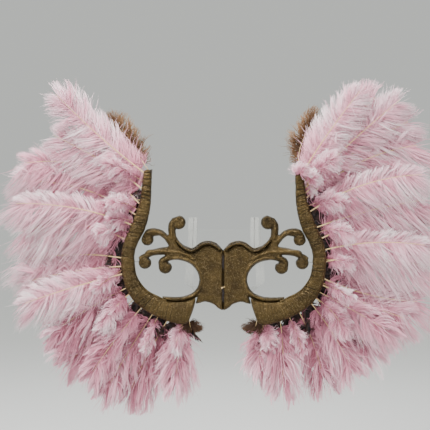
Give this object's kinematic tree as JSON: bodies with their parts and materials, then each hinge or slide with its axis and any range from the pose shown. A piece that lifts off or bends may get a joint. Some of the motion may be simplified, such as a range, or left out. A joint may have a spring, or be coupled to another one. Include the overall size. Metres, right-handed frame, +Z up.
{
  "type": "feather backpiece",
  "caption": "Showgirl backpiece: gold padded scroll frame worn on shoulder straps, with pink ostrich plumes fanned around both sides.",
  "frame": {"origin": "on the centre seam, in the plane of the frame's wearer-side face, at the height of the two shoulder notches", "axes": "+X to the wearer's right (right in a view from behind), +Y to the wearer's front, +Z up"},
  "size_m": [1.9421, 0.2914, 1.4693],
  "materials": {
    "gold_cloth": "crinkled metallic cloth over foam",
    "pink_plume": "soft ostrich barbs on straw quills",
    "bronze_feather": "soft bronze barbs",
    "coque_feather": "glossy black-brown cock feathers",
    "casing_tape": "woven cotton tape",
    "sheer_strap": "sheer net strap"
  },
  "bodies": {
    "root": {"band_left": "gold_cloth", "band_right": "gold_cloth", "bronze_left_low": "bronze_feather", "bronze_left_top": "bronze_feather", "bronze_right_low": "bronze_feather", "bronze_right_top": "bronze_feather", "casing_left": "casing_tape", "casing_right": "casing_tape", "coque_row_left": "coque_feather", "coque_row_right": "coque_feather", "fluff_left_1": "pink_plume", "fluff_left_2": "pink_plume", "fluff_left_3": "pink_plume", "fluff_left_4": "pink_plume", "fluff_right_1": "pink_plume", "fluff_right_2": "pink_plume", "fluff_right_3": "pink_plume", "fluff_right_4": "pink_plume", "panel_left": "gold_cloth", "panel_right": "gold_cloth", "plume_left_01": "pink_plume", "plume_left_02": "pink_plume", "plume_left_03": "pink_plume", "plume_left_04": "pink_plume", "plume_left_05": "pink_plume", "plume_left_06": "pink_plume", "plume_left_07": "pink_plume", "plume_left_08": "pink_plume", "plume_left_09": "pink_plume", "plume_left_10": "pink_plume", "plume_left_11": "pink_plume", "plume_left_12": "pink_plume", "plume_left_13": "pink_plume", "plume_right_01": "pink_plume", "plume_right_02": "pink_plume", "plume_right_03": "pink_plume", "plume_right_04": "pink_plume", "plume_right_05": "pink_plume", "plume_right_06": "pink_plume", "plume_right_07": "pink_plume", "plume_right_08": "pink_plume", "plume_right_09": "pink_plume", "plume_right_10": "pink_plume", "plume_right_11": "pink_plume", "plume_right_12": "pink_plume", "plume_right_13": "pink_plume", "plume_right_14": "pink_plume", "roll_left": "gold_cloth", "roll_right": "gold_cloth", "scroll_crest_left": "gold_cloth", "scroll_crest_right": "gold_cloth", "scroll_inner_left": "gold_cloth", "scroll_inner_right": "gold_cloth", "scroll_middle_left": "gold_cloth", "scroll_middle_right": "gold_cloth", "scroll_outer_left": "gold_cloth", "scroll_outer_right": "gold_cloth", "strap_left": "sheer_strap", "strap_right": "sheer_strap"}
  },
  "joints": []
}
